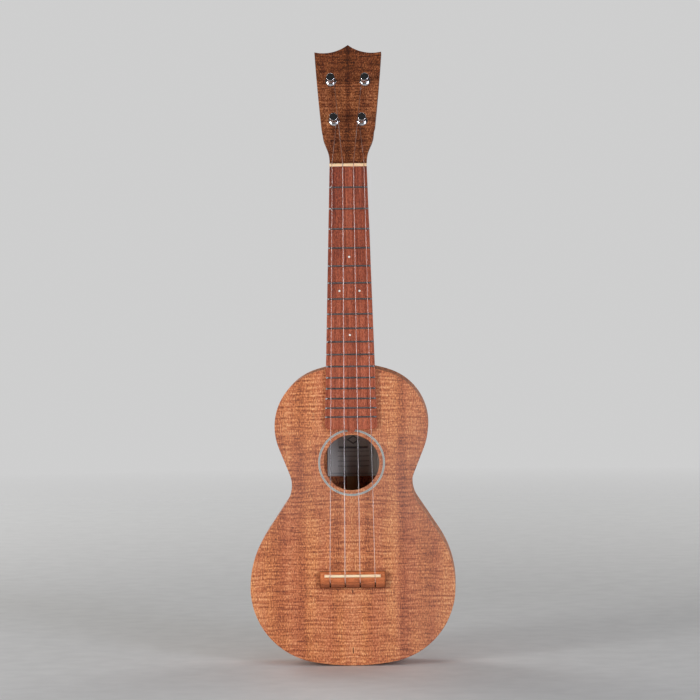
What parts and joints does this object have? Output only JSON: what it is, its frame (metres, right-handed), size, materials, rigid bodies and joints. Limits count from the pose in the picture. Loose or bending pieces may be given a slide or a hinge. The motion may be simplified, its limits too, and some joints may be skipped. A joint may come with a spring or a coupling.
{
  "type": "ukulele",
  "caption": "Small wooden ukulele: waisted hollow body with round soundhole, fretted neck, slotted bridge and a crested head with friction pegs that turn.",
  "frame": {"origin": "centre of the neck at the nut line, on the plane of the soundboard's outer face, where a wall hanger's yoke holds the neck under the head", "axes": "+Z along the neck towards the head, -Y out of the front, +X towards the treble side"},
  "size_m": [0.1944, 0.0775, 0.5881],
  "materials": {
    "koa_body": "satin",
    "koa_head": "satin",
    "neck_wood": "satin",
    "block_wood": "raw",
    "lining_wood": "raw",
    "brace_spruce": "raw",
    "ring_black": "satin",
    "ring_white": "satin",
    "fingerboard_wood": "oiled",
    "fret_metal": "polished",
    "pearl": "polished",
    "bone": "polished",
    "bridge_wood": "satin",
    "paper": "matt",
    "chrome": "polished",
    "string_plastic": "smooth",
    "button_plastic": "gloss",
    "fibre": "matt"
  },
  "bodies": {
    "ukulele": {"soundboard_bass": "koa_body", "soundboard_treble": "koa_body", "back_bass": "koa_body", "back_treble": "koa_body", "side_bass": "koa_body", "side_treble": "koa_body", "headplate": "koa_head", "neck": "neck_wood", "neck_block": "block_wood", "tail_block": "block_wood", "top_linings": "lining_wood", "back_linings": "lining_wood", "upper_top_brace": "brace_spruce", "lower_top_brace": "brace_spruce", "fan_braces": "brace_spruce", "bridge_plate": "block_wood", "back_braces": "brace_spruce", "back_centre_strip": "brace_spruce", "rosette_dark_rings": "ring_black", "rosette_light_rings": "ring_white", "fingerboard": "fingerboard_wood", "frets": "fret_metal", "position_dots": "pearl", "nut": "bone", "saddle": "bone", "bridge": "bridge_wood", "label": "paper", "peg_bushings": "chrome", "peg_collars": "chrome", "string_g": "string_plastic", "string_c": "string_plastic", "string_e": "string_plastic", "string_a": "string_plastic"},
    "peg_g": {"peg_post_g": "chrome", "peg_button_g": "button_plastic", "peg_screw_g": "chrome", "peg_washer_g": "fibre", "winding_g": "string_plastic"},
    "peg_c": {"peg_post_c": "chrome", "peg_button_c": "button_plastic", "peg_screw_c": "chrome", "peg_washer_c": "fibre", "winding_c": "string_plastic"},
    "peg_e": {"peg_post_e": "chrome", "peg_button_e": "button_plastic", "peg_screw_e": "chrome", "peg_washer_e": "fibre", "winding_e": "string_plastic"},
    "peg_a": {"peg_post_a": "chrome", "peg_button_a": "button_plastic", "peg_screw_a": "chrome", "peg_washer_a": "fibre", "winding_a": "string_plastic"}
  },
  "joints": [
    {"name": "turn_peg_g", "type": "hinge", "parent": "ukulele", "child": "peg_g", "pos_m": [-0.0133, 0.0089, 0.04136], "axis": [0, -0.9659, 0.2588], "continuous": true},
    {"name": "turn_peg_c", "type": "hinge", "parent": "ukulele", "child": "peg_c", "pos_m": [-0.0161, 0.01899, 0.07904], "axis": [0, -0.9659, 0.2588], "continuous": true},
    {"name": "turn_peg_e", "type": "hinge", "parent": "ukulele", "child": "peg_e", "pos_m": [0.0161, 0.01899, 0.07904], "axis": [0, -0.9659, 0.2588], "continuous": true},
    {"name": "turn_peg_a", "type": "hinge", "parent": "ukulele", "child": "peg_a", "pos_m": [0.0133, 0.0089, 0.04136], "axis": [0, -0.9659, 0.2588], "continuous": true}
  ]
}
